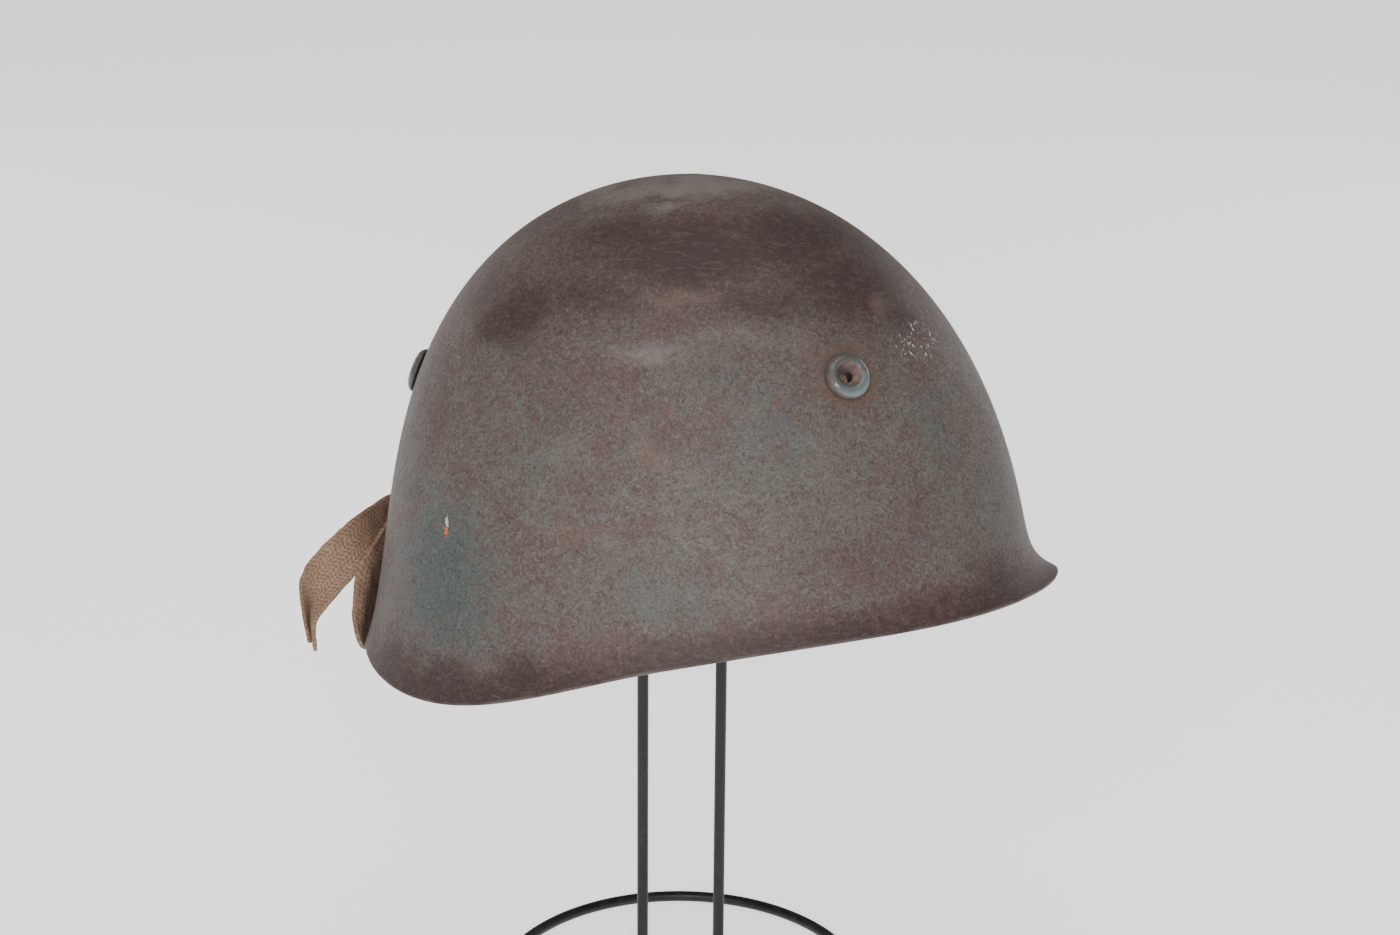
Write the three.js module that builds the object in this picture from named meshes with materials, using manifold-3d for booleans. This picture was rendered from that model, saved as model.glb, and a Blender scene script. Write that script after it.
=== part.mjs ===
// A pressed steel helmet with three vents and a webbing chin strap, resting on a wire display stand.
// Millimetres, +Z up. The origin is the bottom centre of the whole thing's box, on the floor.
import * as THREE from 'three';
import { mergeVertices } from 'three/addons/utils/BufferGeometryUtils.js';
import Module from 'manifold-3d';

const wasm = await Module();
wasm.setup();

const DEG = Math.PI / 180;

// Driving dimensions of the shell. Its own frame has +X to the front, +Y to the wearer's left and
// +Z to the crown, with z = 0 at about the height of the ears.
const CROWN_HEIGHT = 177;
const SHELL_WALL = 1.2;
const PLAN_CENTRE = -5;
const PLAN_POWER = 2.1;
const PROFILES = {
  front: { reach: 146, level: -55, power: 2.6 },
  rear: { reach: 122, level: -26, power: 3.2 },
  side: { reach: 111.5, level: -45, power: 2.25 },
};
// The brim turns out by `spread` at the edge, and dies away upward over `fade`.
const FLARES = {
  front: { spread: 11, fade: 4.2 },
  rear: { spread: 7.5, fade: 23 },
  side: { spread: 4.5, fade: 12 },
};
// Height of the rim at even steps of azimuth, from the front to the nape.
const RIM = [
  { azimuth: 0, height: 22.5 },
  { azimuth: 45, height: 12.5 },
  { azimuth: 90, height: -5 },
  { azimuth: 135, height: -26.5 },
  { azimuth: 180, height: -16 },
];
const SHELL_COLUMNS = 64;
const SHELL_ROWS = 22;

// Driving dimensions of the vent bushes
const VENTS = [
  { name: 'vent_rear', azimuth: 180, height: 92.5, holdsStrap: false },
  { name: 'vent_front_left', azimuth: 55.5, height: 104, holdsStrap: true },
  { name: 'vent_front_right', azimuth: -55.5, height: 104, holdsStrap: true },
];
// Radius and height over the wall, from the flange's edge over the dome and down the funnel.
const BUSH_DOME = [
  { radius: 9.3, height: 0.3 },
  { radius: 9.5, height: 0.9 },
  { radius: 8.8, height: 2.2 },
  { radius: 7.5, height: 3.2 },
  { radius: 6.3, height: 3.6 },
  { radius: 5.1, height: 3.2 },
  { radius: 4.4, height: 2.3 },
  { radius: 3.9, height: 1.2 },
  { radius: 1.8, height: -0.3 },
];
const BUSH_SHANK_RADIUS = 4.7;
const BUSH_CLENCH_RADIUS = 6.8;
const BUSH_CLENCH_THICK = 1;
const BUSH_CLENCH_GAP = 0.8;
const BUSH_SEGMENTS = 20;
const VENT_DRILL_LENGTH = 30;

// Driving dimensions of the chin strap
const STRAP_WIDTH = 18.5;
const STRAP_THICK = 2.2;
const STRAP_OFF_WALL = 1.1;
const STRAP_LOOP_RADIUS = 3.2;
const STRAP_LOOP_DROP = 2.5;
const STRAP_STEPS = 2;
const STRAP_INSIDE_STEPS = 18;
const STRAP_SEWN_END = 18;
const STRAP_TAIL_START = 6;
// Where each half runs inside the wall, from its end past the vent down to the rear rim.
const STRAP_RIGHT_INSIDE = [
  { azimuth: -47, height: 108.5 },
  { azimuth: -55.5, height: 104 },
  { azimuth: -80, height: 86 },
  { azimuth: -110, height: 58 },
  { azimuth: -140, height: 28 },
  { azimuth: -163, height: 6 },
  { azimuth: -175, height: -6 },
];
const STRAP_LEFT_INSIDE = [
  { azimuth: 47, height: 108.5 },
  { azimuth: 55.5, height: 104 },
  { azimuth: 74, height: 84 },
  { azimuth: 94, height: 56 },
  { azimuth: 112, height: 26 },
  { azimuth: 125, height: -2 },
  { azimuth: 130, height: -15 },
];
const STRAP_RIGHT_CROSSING = -178;
const STRAP_LEFT_CROSSING = 131;
// Where the halves rise outside; `out` is from the wall to the middle of the webbing, and `swing`
// turns its face about the upright.
const STRAP_RIGHT_OUTSIDE = [
  { azimuth: -179, height: -8, out: 4.2, swing: -8 },
  { azimuth: 179, height: 6, out: 5.4, swing: -14 },
  { azimuth: 173, height: 18, out: 4, swing: -8 },
];
const STRAP_LEFT_OUTSIDE = [
  { azimuth: 134, height: -10, out: 3.4 },
  { azimuth: 142, height: 10, out: 2.8 },
];
// The free end: it leaves the ring, swings clear of the nape and droops. `width` is the share of
// the full width that is left where the end has curled up.
const STRAP_TAIL = [
  { azimuth: 167, height: 28, out: 9, swing: -12, width: 1 },
  { azimuth: 176, height: 22, out: 12.5, swing: -45, width: 1 },
  { azimuth: 179, height: 13.5, out: 19, swing: -78, width: 1 },
  { azimuth: 179, height: 5.5, out: 25, swing: -88, width: 1 },
  { azimuth: 179, height: -2.5, out: 28.5, swing: -82, width: 0.9 },
  { azimuth: 179, height: -11, out: 28.5, swing: -50, width: 0.65 },
  { azimuth: 178, height: -19, out: 27.5, swing: -30, width: 0.45 },
  { azimuth: 177, height: -26.5, out: 27, swing: -20, width: 0.38 },
];

// Driving dimensions of the ring that joins the two halves: two slanting bars, two sides and a top
const RING_AZIMUTH = 158;
const RING_HEIGHT = 28;
const RING_OUT = 4.6;
const RING_WIRE = 2.2;
const RING_BAR = 25;
const RING_SLANT = 30;
const RING_SIDE = 8;
const RING_CORNER = 2.6;
const RING_CORNER_STEPS = 2;
const RING_APPROACH = 10;

// Driving dimensions of the stand
const WIRE = 4.8;
const STAND_RADIUS = 80;
const UPRIGHT_HALF_GAP = 16.5;
const FOOT_BEND = 12;
const HOOP_RADIUS = 58;
const NECK_BEND = 25;
const STAND_HEIGHT = 361;
const BASE_RING_SEGMENTS = 48;
const BEND_STEPS = 6;
const HOOP_STEPS = 18;

// Where the two stand over the origin. The helmet hangs with its right side high.
const STAND_AXIS = new THREE.Vector3(4.6, 16, 0);
const HELMET_PLACE = new THREE.Vector3(9.6, 0, 189.5);
const HELMET_TURN = -6;
const HELMET_LEAN = 12.5;

const CLEARANCE = 0.3;
const UP = new THREE.Vector3(0, 0, 1);

// Turns a closed geometry into a solid that can be cut and joined.
function solidOf(geometry) {
  const bare = geometry.clone();
  bare.deleteAttribute('normal');
  bare.deleteAttribute('uv');
  const merged = mergeVertices(bare, 1e-4);
  return new wasm.Manifold(new wasm.Mesh({
    numProp: 3,
    vertProperties: new Float32Array(merged.attributes.position.array),
    triVerts: new Uint32Array(merged.index.array),
  }));
}

function geometryOf(solid) {
  const mesh = solid.getMesh();
  const geometry = new THREE.BufferGeometry();
  geometry.setAttribute('position', new THREE.BufferAttribute(mesh.vertProperties, 3));
  geometry.setIndex(new THREE.BufferAttribute(mesh.triVerts, 1));
  geometry.computeVertexNormals();
  return geometry;
}

function geometryFrom(points, triangles) {
  const geometry = new THREE.BufferGeometry();
  geometry.setFromPoints(points);
  geometry.setIndex(triangles);
  geometry.computeVertexNormals();
  return geometry;
}

// Sweeps a convex outline along stations, each a point with the outline's two axes there.
function sweep(stations, outline, closed = false) {
  const sides = outline.length;
  const points = stations.flatMap(({ point, across, out }) => outline.map(([a, b]) => (
    point.clone().addScaledVector(across, a).addScaledVector(out, b)
  )));
  const triangles = [];
  const spans = closed ? stations.length : stations.length - 1;
  for (let i = 0; i < spans; i += 1) {
    const here = i * sides;
    const next = ((i + 1) % stations.length) * sides;
    for (let j = 0; j < sides; j += 1) {
      const k = (j + 1) % sides;
      triangles.push(here + j, here + k, next + k, here + j, next + k, next + j);
    }
  }
  if (!closed) {
    const last = points.length - sides;
    for (let j = 1; j < sides - 1; j += 1) {
      triangles.push(0, j + 1, j, last, last + j, last + j + 1);
    }
  }
  return geometryFrom(points, triangles);
}

// A round wire's outline: an octagon that rests on a flat.
function wireOutline(diameter) {
  const corner = diameter / 2 / Math.cos(Math.PI / 8);
  return Array.from({ length: 8 }, (_, i) => {
    const angle = (i + 0.5) * Math.PI / 4;
    return [corner * Math.cos(angle), corner * Math.sin(angle)];
  });
}

// The rim's height as a smooth wave through the table's rows
const rimWaves = RIM.map((_, wave) => {
  const last = RIM.length - 1;
  const sum = RIM.reduce((total, row, index) => {
    const share = index === 0 || index === last ? 0.5 : 1;
    return total + share * row.height * Math.cos(wave * row.azimuth * DEG);
  }, 0);
  return (wave === 0 || wave === last ? 1 : 2) * sum / last;
});

function rimHeight(azimuth) {
  return rimWaves.reduce((height, size, wave) => height + size * Math.cos(wave * azimuth * DEG), 0);
}

function profileReach({ reach, level, power }, height) {
  const rise = Math.max((height - level) / (CROWN_HEIGHT - level), 0);
  return reach * Math.sqrt(Math.max(1 - rise ** power, 0));
}

function signedPower(value, power) {
  return Math.sign(value) * Math.abs(value) ** power;
}

// A point on the outer wall. The plan is an oval with its own reach to the front, rear and side.
function wallPoint(azimuth, height) {
  const cosine = Math.cos(azimuth * DEG);
  const sine = Math.sin(azimuth * DEG);
  const front = Math.max(cosine, 0) ** 2;
  const rear = Math.max(-cosine, 0) ** 2;
  const side = sine ** 2;
  const lengthwise = profileReach(cosine >= 0 ? PROFILES.front : PROFILES.rear, height);
  const x = lengthwise * signedPower(cosine, 2 / PLAN_POWER);
  const y = profileReach(PROFILES.side, height) * signedPower(sine, 2 / PLAN_POWER);
  const spread = FLARES.front.spread * front ** 2 + FLARES.rear.spread * rear + FLARES.side.spread * side;
  const fade = FLARES.front.fade * front + FLARES.rear.fade * rear + FLARES.side.fade * side;
  const flare = spread * Math.exp((rimHeight(azimuth) - height) / fade);
  const stretch = 1 + flare / Math.max(Math.hypot(x, y), 1);
  return new THREE.Vector3(PLAN_CENTRE + x * stretch, y * stretch, height);
}

// `fall` runs from 0 at the crown to 1 at the rim, and packs the rows where the wall bends most.
function heightAtFall(azimuth, fall) {
  return CROWN_HEIGHT + (rimHeight(azimuth) - CROWN_HEIGHT) * Math.sin(fall * Math.PI / 2) ** 2;
}

function fallAtHeight(azimuth, height) {
  const share = (CROWN_HEIGHT - height) / (CROWN_HEIGHT - rimHeight(azimuth));
  return Math.asin(Math.sqrt(Math.min(share, 1))) / (Math.PI / 2);
}

function wallAtFall(azimuth, fall) {
  return wallPoint(azimuth, heightAtFall(azimuth, fall));
}

function wallNormal(azimuth, fall) {
  const step = 0.001;
  const turn = 0.1;
  const level = Math.min(fall, 1 - step);
  const around = wallAtFall(azimuth + turn, level).sub(wallAtFall(azimuth - turn, level));
  const down = wallAtFall(azimuth, level + step).sub(wallAtFall(azimuth, level - step));
  return down.cross(around).normalize();
}

// Vent places on the wall
const ventPlaces = VENTS.map((vent) => {
  const point = wallPoint(vent.azimuth, vent.height);
  const normal = wallNormal(vent.azimuth, fallAtHeight(vent.azimuth, vent.height));
  return { ...vent, point, turn: new THREE.Quaternion().setFromUnitVectors(UP, normal) };
});

// A cylinder along a vent's axis, for cutting the hole that its shank goes through.
function ventDrill(place, radius) {
  const drill = new THREE.CylinderGeometry(radius, radius, VENT_DRILL_LENGTH, BUSH_SEGMENTS);
  drill.rotateX(Math.PI / 2);
  drill.applyQuaternion(place.turn);
  drill.translate(...place.point);
  return solidOf(drill);
}

// The shell: an outer and an inner skin, joined along the rim
function shellGeometry() {
  const points = [];
  for (const inset of [0, SHELL_WALL]) {
    points.push(new THREE.Vector3(PLAN_CENTRE, 0, CROWN_HEIGHT - inset));
    for (let row = 1; row <= SHELL_ROWS; row += 1) {
      for (let column = 0; column < SHELL_COLUMNS; column += 1) {
        const azimuth = column * 360 / SHELL_COLUMNS;
        const fall = row / SHELL_ROWS;
        points.push(wallAtFall(azimuth, fall).addScaledVector(wallNormal(azimuth, fall), -inset));
      }
    }
  }
  const skin = 1 + SHELL_ROWS * SHELL_COLUMNS;
  const triangles = [];
  const face = (a, b, c) => triangles.push(a, b, c, skin + c, skin + b, skin + a);
  for (let column = 0; column < SHELL_COLUMNS; column += 1) {
    const beside = (column + 1) % SHELL_COLUMNS;
    face(0, 1 + column, 1 + beside);
    for (let row = 1; row < SHELL_ROWS; row += 1) {
      const upper = 1 + (row - 1) * SHELL_COLUMNS;
      const lower = upper + SHELL_COLUMNS;
      face(upper + column, lower + column, lower + beside);
      face(upper + column, lower + beside, upper + beside);
    }
    const rim = 1 + (SHELL_ROWS - 1) * SHELL_COLUMNS;
    triangles.push(rim + column, skin + rim + column, skin + rim + beside);
    triangles.push(rim + column, skin + rim + beside, rim + beside);
  }
  return geometryFrom(points, triangles);
}

function shell() {
  const solid = ventPlaces.reduce(
    (body, place) => body.subtract(ventDrill(place, BUSH_SHANK_RADIUS + CLEARANCE)),
    solidOf(shellGeometry()),
  );
  const material = new THREE.MeshStandardMaterial({ color: 0x5e665f, roughness: 0.7, metalness: 0.35 });
  const mesh = new THREE.Mesh(geometryOf(solid), material);
  mesh.name = 'shell';
  return mesh;
}

// A vent bush: a domed flange outside, a funnel through it, a shank and a clenched end inside.
function ventBush(place) {
  const strapLayer = STRAP_OFF_WALL + STRAP_THICK;
  const grip = SHELL_WALL + BUSH_CLENCH_GAP + (place.holdsStrap ? strapLayer : 0);
  const end = -grip - BUSH_CLENCH_THICK;
  const neck = { radius: BUSH_SHANK_RADIUS, height: CLEARANCE };
  const profile = [
    neck,
    ...BUSH_DOME,
    { radius: BUSH_DOME.at(-1).radius, height: end },
    { radius: BUSH_CLENCH_RADIUS, height: end },
    { radius: BUSH_CLENCH_RADIUS, height: -grip },
    { radius: BUSH_SHANK_RADIUS, height: -grip },
    neck,
  ];
  const outline = profile.map(({ radius, height }) => new THREE.Vector2(radius, height));
  const geometry = new THREE.LatheGeometry(outline, BUSH_SEGMENTS).rotateX(Math.PI / 2);
  const material = new THREE.MeshStandardMaterial({ color: 0x6d7f80, roughness: 0.45, metalness: 0.4 });
  const mesh = new THREE.Mesh(geometry, material);
  mesh.position.copy(place.point);
  mesh.quaternion.copy(place.turn);
  mesh.name = place.name;
  return mesh;
}

// A place beside the wall: the point `out` from it, the level direction away from it, and up.
// Below the rim it keeps the rim's plan.
function besideWall(azimuth, height, out) {
  const level = Math.max(height, rimHeight(azimuth));
  const away = wallNormal(azimuth, fallAtHeight(azimuth, level)).setZ(0).normalize();
  const point = wallPoint(azimuth, level).addScaledVector(away, out).setZ(height);
  return { point, away };
}

// A strap section on the wall. `lean` turns the side that meets the inner wall: 0 faces out,
// 90 faces up and 180 faces in.
function sectionAt({ azimuth, height, out, lean, swing = 0, width = 1 }) {
  const { point, away } = besideWall(azimuth, height, out);
  const facing = away.multiplyScalar(Math.cos(lean * DEG)).addScaledVector(UP, Math.sin(lean * DEG));
  return { point, facing: facing.applyAxisAngle(UP, swing * DEG), width };
}

// The stretch inside the wall follows it closely between the table's rows.
function insideSections(rows) {
  const inset = SHELL_WALL + STRAP_OFF_WALL + STRAP_THICK / 2;
  const knots = rows.map(({ azimuth, height }) => new THREE.Vector2(azimuth, height));
  return new THREE.SplineCurve(knots).getPoints(STRAP_INSIDE_STEPS).map(({ x: azimuth, y: height }) => {
    const normal = wallNormal(azimuth, fallAtHeight(azimuth, height));
    return { point: wallPoint(azimuth, height).addScaledVector(normal, -inset), facing: normal, width: 1 };
  });
}

// The slack loop that takes the strap under the rim, from inside to outside.
function rimLoop(azimuth) {
  const middle = STRAP_LOOP_RADIUS - SHELL_WALL - STRAP_OFF_WALL - STRAP_THICK / 2;
  const level = rimHeight(azimuth) - STRAP_LOOP_DROP;
  return [0, 45, 90, 135, 180].map((lean) => {
    const out = middle - STRAP_LOOP_RADIUS * Math.cos(lean * DEG);
    return sectionAt({ azimuth, height: level - STRAP_LOOP_RADIUS * Math.sin(lean * DEG), out, lean });
  });
}

// The ring's own axes: along the wall to the left, up the wall, and away from it
const ringFrame = (() => {
  const away = wallNormal(RING_AZIMUTH, fallAtHeight(RING_AZIMUTH, RING_HEIGHT));
  const along = away.clone().cross(UP).normalize();
  const point = wallPoint(RING_AZIMUTH, RING_HEIGHT).addScaledVector(away, RING_OUT);
  return { point, along, away, up: along.clone().cross(away) };
})();

function ringPoint(along, up, away = 0) {
  return ringFrame.point.clone()
    .addScaledVector(ringFrame.along, along)
    .addScaledVector(ringFrame.up, up)
    .addScaledVector(ringFrame.away, away);
}

// A strap's turn over one slanting bar of the ring: it rises behind the bar, turns over it, and
// comes down in front for `tail` millimetres.
function barTurn(side, tail) {
  const slant = RING_SLANT * DEG;
  const bar = ringPoint(side * RING_BAR / 2 * Math.cos(slant), RING_BAR / 2 * Math.sin(slant));
  const rise = ringPoint(-side * Math.sin(slant), Math.cos(slant)).sub(ringFrame.point);
  const radius = (RING_WIRE + STRAP_THICK) / 2 + 1.5 * CLEARANCE;
  const section = (lean, fall) => {
    const facing = rise.clone().multiplyScalar(Math.sin(lean * DEG))
      .addScaledVector(ringFrame.away, Math.cos(lean * DEG));
    const point = bar.clone().addScaledVector(facing, radius).addScaledVector(rise, -fall);
    return { point, facing, width: 1 };
  };
  return [
    section(180, RING_APPROACH),
    ...[180, 135, 90, 45, 0].map((lean) => section(lean, 0)),
    section(0, tail),
  ];
}

// Sections of webbing, joined by smooth curves
function strapGeometry(sections) {
  const points = new THREE.CatmullRomCurve3(sections.map(({ point }) => point));
  const facings = new THREE.CatmullRomCurve3(sections.map(({ facing }) => facing));
  const widths = new THREE.SplineCurve(sections.map(({ width }, i) => new THREE.Vector2(i, width)));
  const count = (sections.length - 1) * STRAP_STEPS;
  const stations = Array.from({ length: count + 1 }, (_, i) => {
    const point = points.getPoint(i / count);
    const travel = points.getTangent(i / count);
    const across = facings.getPoint(i / count).cross(travel).normalize();
    const out = travel.clone().cross(across);
    return { point, across: across.multiplyScalar(widths.getPoint(i / count).y), out };
  });
  const half = STRAP_WIDTH / 2;
  const skin = STRAP_THICK / 2;
  return sweep(stations, [[-half, -skin], [half, -skin], [half, skin], [-half, skin]]);
}

function strap(name, sections, ventName) {
  const place = ventPlaces.find((vent) => vent.name === ventName);
  const eyelet = ventDrill(place, BUSH_SHANK_RADIUS + CLEARANCE);
  const material = new THREE.MeshStandardMaterial({ color: 0x6b5236, roughness: 0.95, metalness: 0 });
  const mesh = new THREE.Mesh(geometryOf(solidOf(strapGeometry(sections)).subtract(eyelet)), material);
  mesh.name = name;
  return mesh;
}

// The stretch outside the wall, whose `lean` says which side of the webbing faces out.
function outsideSections(rows, lean) {
  return rows.map((row) => sectionAt({ ...row, lean }));
}

function strapRight() {
  return strap('chin_strap_right', [
    ...insideSections(STRAP_RIGHT_INSIDE),
    ...rimLoop(STRAP_RIGHT_CROSSING),
    ...outsideSections(STRAP_RIGHT_OUTSIDE, 180),
    ...barTurn(-1, STRAP_TAIL_START),
    ...outsideSections(STRAP_TAIL, 0),
  ], 'vent_front_right');
}

// The left half ends in a short turn-back that is sewn down.
function strapLeft() {
  return strap('chin_strap_left', [
    ...insideSections(STRAP_LEFT_INSIDE),
    ...rimLoop(STRAP_LEFT_CROSSING),
    ...outsideSections(STRAP_LEFT_OUTSIDE, 180),
    ...barTurn(1, STRAP_SEWN_END),
  ], 'vent_front_left');
}

// The ring: a wire bent to five sides with a point down
function strapRing() {
  const slant = RING_SLANT * DEG;
  const half = RING_BAR * Math.cos(slant);
  const top = RING_BAR * Math.sin(slant);
  const corners = [
    new THREE.Vector2(0, 0),
    new THREE.Vector2(half, top),
    new THREE.Vector2(half, top + RING_SIDE),
    new THREE.Vector2(-half, top + RING_SIDE),
    new THREE.Vector2(-half, top),
  ];
  const stations = corners.flatMap((corner, index) => {
    const toward = (target) => target.clone().sub(corner).setLength(RING_CORNER).add(corner);
    const before = toward(corners.at(index - 1));
    const after = toward(corners[(index + 1) % corners.length]);
    const bend = new THREE.QuadraticBezierCurve(before, corner, after);
    return Array.from({ length: RING_CORNER_STEPS + 1 }, (_, step) => {
      const place = bend.getPoint(step / RING_CORNER_STEPS);
      const travel = bend.getTangent(step / RING_CORNER_STEPS);
      const out = ringPoint(travel.x, travel.y).sub(ringFrame.point).cross(ringFrame.away);
      return { point: ringPoint(place.x, place.y), across: ringFrame.away, out };
    });
  });
  const material = new THREE.MeshStandardMaterial({ color: 0x3d3a34, roughness: 0.5, metalness: 0.8 });
  const mesh = new THREE.Mesh(sweep(stations, wireOutline(RING_WIRE), true), material);
  mesh.name = 'strap_ring';
  return mesh;
}

// Stations along an arc in the stand's upright plane
function arcStations(centre, radius, from, to, steps) {
  return Array.from({ length: steps + 1 }, (_, i) => {
    const angle = (from + (to - from) * i / steps) * DEG;
    const spin = Math.sign(to - from);
    return {
      point: new THREE.Vector3(centre.x + radius * Math.cos(angle), 0, centre.z + radius * Math.sin(angle)),
      travel: new THREE.Vector3(-Math.sin(angle) * spin, 0, Math.cos(angle) * spin),
    };
  });
}

// The stand: a base ring, and one wire that runs in from it, rises, spreads to a hoop and returns.
function wireStand() {
  const outline = wireOutline(WIRE);
  const section = [...outline, outline[0]].map(([a, b]) => new THREE.Vector2(STAND_RADIUS + a, WIRE / 2 + b));
  const baseRing = new THREE.LatheGeometry(section, BASE_RING_SEGMENTS).rotateX(Math.PI / 2);

  const hoopLevel = STAND_HEIGHT - WIRE / 2 - HOOP_RADIUS;
  const neckX = UPRIGHT_HALF_GAP + NECK_BEND;
  const neckDrop = Math.sqrt((HOOP_RADIUS + NECK_BEND) ** 2 - neckX ** 2);
  const neckTurn = Math.atan2(neckDrop, neckX) / DEG;
  const foot = { x: UPRIGHT_HALF_GAP + FOOT_BEND, z: WIRE / 2 + FOOT_BEND };
  const half = [
    { point: new THREE.Vector3(STAND_RADIUS, 0, WIRE / 2), travel: new THREE.Vector3(-1, 0, 0) },
    ...arcStations(foot, FOOT_BEND, -90, -180, BEND_STEPS),
    ...arcStations({ x: neckX, z: hoopLevel - neckDrop }, NECK_BEND, 180, 180 - neckTurn, BEND_STEPS),
    ...arcStations({ x: 0, z: hoopLevel }, HOOP_RADIUS, -neckTurn, 90, HOOP_STEPS).slice(1),
  ];
  const mirrored = half.slice(0, -1).reverse().map(({ point, travel }) => ({
    point: point.clone().setX(-point.x),
    travel: travel.clone().setZ(-travel.z),
  }));
  const across = new THREE.Vector3(0, 1, 0);
  const stations = [...half, ...mirrored].map(({ point, travel }) => (
    { point, across, out: travel.clone().cross(across) }
  ));
  const joined = solidOf(baseRing).add(solidOf(sweep(stations, outline)));
  const material = new THREE.MeshStandardMaterial({ color: 0x17181a, roughness: 0.45, metalness: 0.3 });
  const mesh = new THREE.Mesh(geometryOf(joined), material);
  mesh.name = 'wire_stand';
  mesh.position.copy(STAND_AXIS);
  return mesh;
}

const helmet = new THREE.Group();
helmet.add(shell(), ...ventPlaces.map(ventBush), strapRight(), strapLeft(), strapRing());
helmet.rotation.set(-HELMET_LEAN * DEG, 0, HELMET_TURN * DEG, 'ZYX');
helmet.position.copy(HELMET_PLACE);

const part = new THREE.Group();
part.add(wireStand(), helmet);

export default part;
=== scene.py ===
# A pressed steel helmet with vent bushes and a webbing chin strap, on a bent wire stand.
# Metres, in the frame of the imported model: +X is the helmet's front and +Z is up.
import itertools
import math
import bmesh
import bpy
import numpy as np
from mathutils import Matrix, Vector, noise
from mathutils.kdtree import KDTree


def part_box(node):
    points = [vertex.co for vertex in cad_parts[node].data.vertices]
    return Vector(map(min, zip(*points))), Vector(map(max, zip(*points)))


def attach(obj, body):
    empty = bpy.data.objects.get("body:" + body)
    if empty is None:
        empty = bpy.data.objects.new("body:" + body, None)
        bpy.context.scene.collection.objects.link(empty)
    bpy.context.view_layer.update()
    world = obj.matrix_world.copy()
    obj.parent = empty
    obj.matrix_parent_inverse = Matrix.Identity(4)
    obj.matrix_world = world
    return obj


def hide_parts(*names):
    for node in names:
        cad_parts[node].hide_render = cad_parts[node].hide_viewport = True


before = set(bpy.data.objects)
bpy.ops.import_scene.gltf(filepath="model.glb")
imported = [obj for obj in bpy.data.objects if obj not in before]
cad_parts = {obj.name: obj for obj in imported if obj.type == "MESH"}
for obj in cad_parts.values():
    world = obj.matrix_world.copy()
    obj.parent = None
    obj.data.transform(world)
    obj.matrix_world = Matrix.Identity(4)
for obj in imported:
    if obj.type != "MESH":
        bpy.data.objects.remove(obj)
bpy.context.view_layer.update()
MM = 0.001


# The viewpoint: a long lens on the helmet's right side, a little above it, that looks down by
# about twenty degrees.
IMAGE_WIDTH = 1400
IMAGE_HEIGHT = 935
LENS_MM = 70
SENSOR_MM = 36
CAMERA_PLACE = Vector((11.4, -1033.2, 623.4)) * MM
CAMERA_DOWN = 19.86
CAMERA_ROLL = 0.5
bpy.ops.object.select_all(action="DESELECT")
bpy.ops.object.camera_add(location=CAMERA_PLACE)
camera = bpy.context.object
camera.rotation_mode = "ZYX"
camera.rotation_euler = (math.radians(90 - CAMERA_DOWN), 0, math.radians(CAMERA_ROLL))
camera.data.lens = LENS_MM
camera.data.sensor_width = SENSOR_MM
camera.data.clip_start = 0.01
bpy.context.scene.camera = camera
bpy.context.view_layer.update()


def sight_line(pixel_x, pixel_y):
    """Direction from the camera through a place in the image, in pixels from its top left."""
    focal = IMAGE_WIDTH * LENS_MM / SENSOR_MM
    aim = Vector(((pixel_x - IMAGE_WIDTH / 2) / focal, (IMAGE_HEIGHT / 2 - pixel_y) / focal, -1))
    return (camera.matrix_world.to_3x3() @ aim).normalized()


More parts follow.
